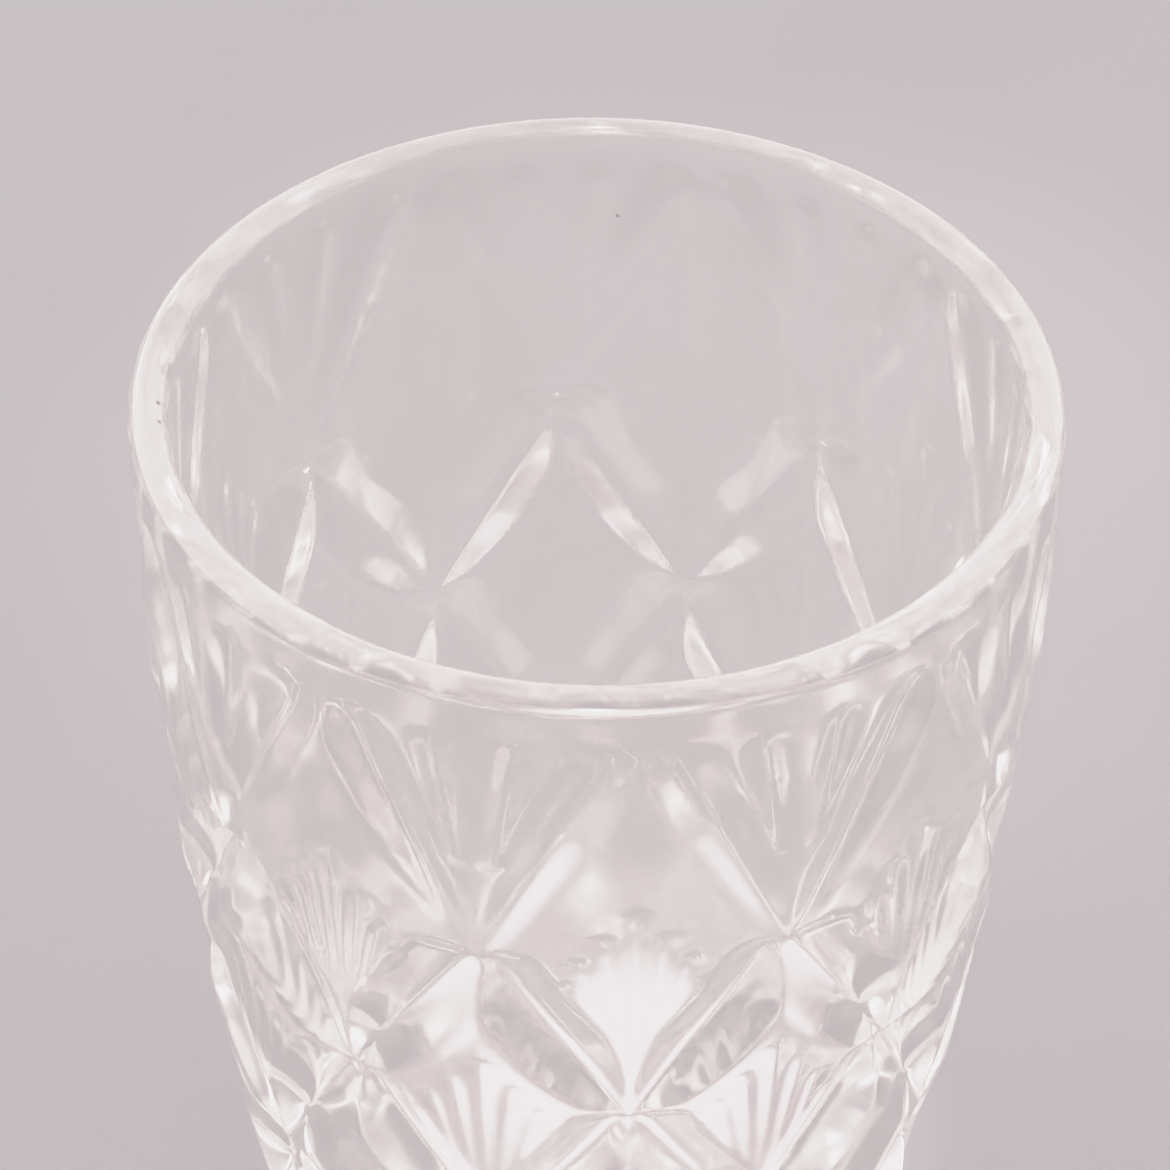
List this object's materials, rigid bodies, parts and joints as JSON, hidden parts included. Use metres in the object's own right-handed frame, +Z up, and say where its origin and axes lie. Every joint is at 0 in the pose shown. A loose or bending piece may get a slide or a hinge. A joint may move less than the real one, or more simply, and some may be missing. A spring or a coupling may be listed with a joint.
{
  "type": "pressed glass tumbler",
  "caption": "Clear pressed glass tumbler, round mouth narrowing to a thick foot, with a lattice of mitre stars and fans pressed into the outside wall.",
  "frame": {"origin": "centre of the foot, on the surface that the tumbler rests on", "axes": "+Z up along the tumbler's axis; +X through the centre of a star in the uppermost row; +Y completes the right-handed frame"},
  "size_m": [0.078, 0.078, 0.092],
  "materials": {
    "clear_glass": "clear fire-polished pressed glass, very slightly warm, smooth with a faint mould waviness"
  },
  "bodies": {
    "root": {"tumbler_body": "clear_glass"}
  },
  "joints": []
}
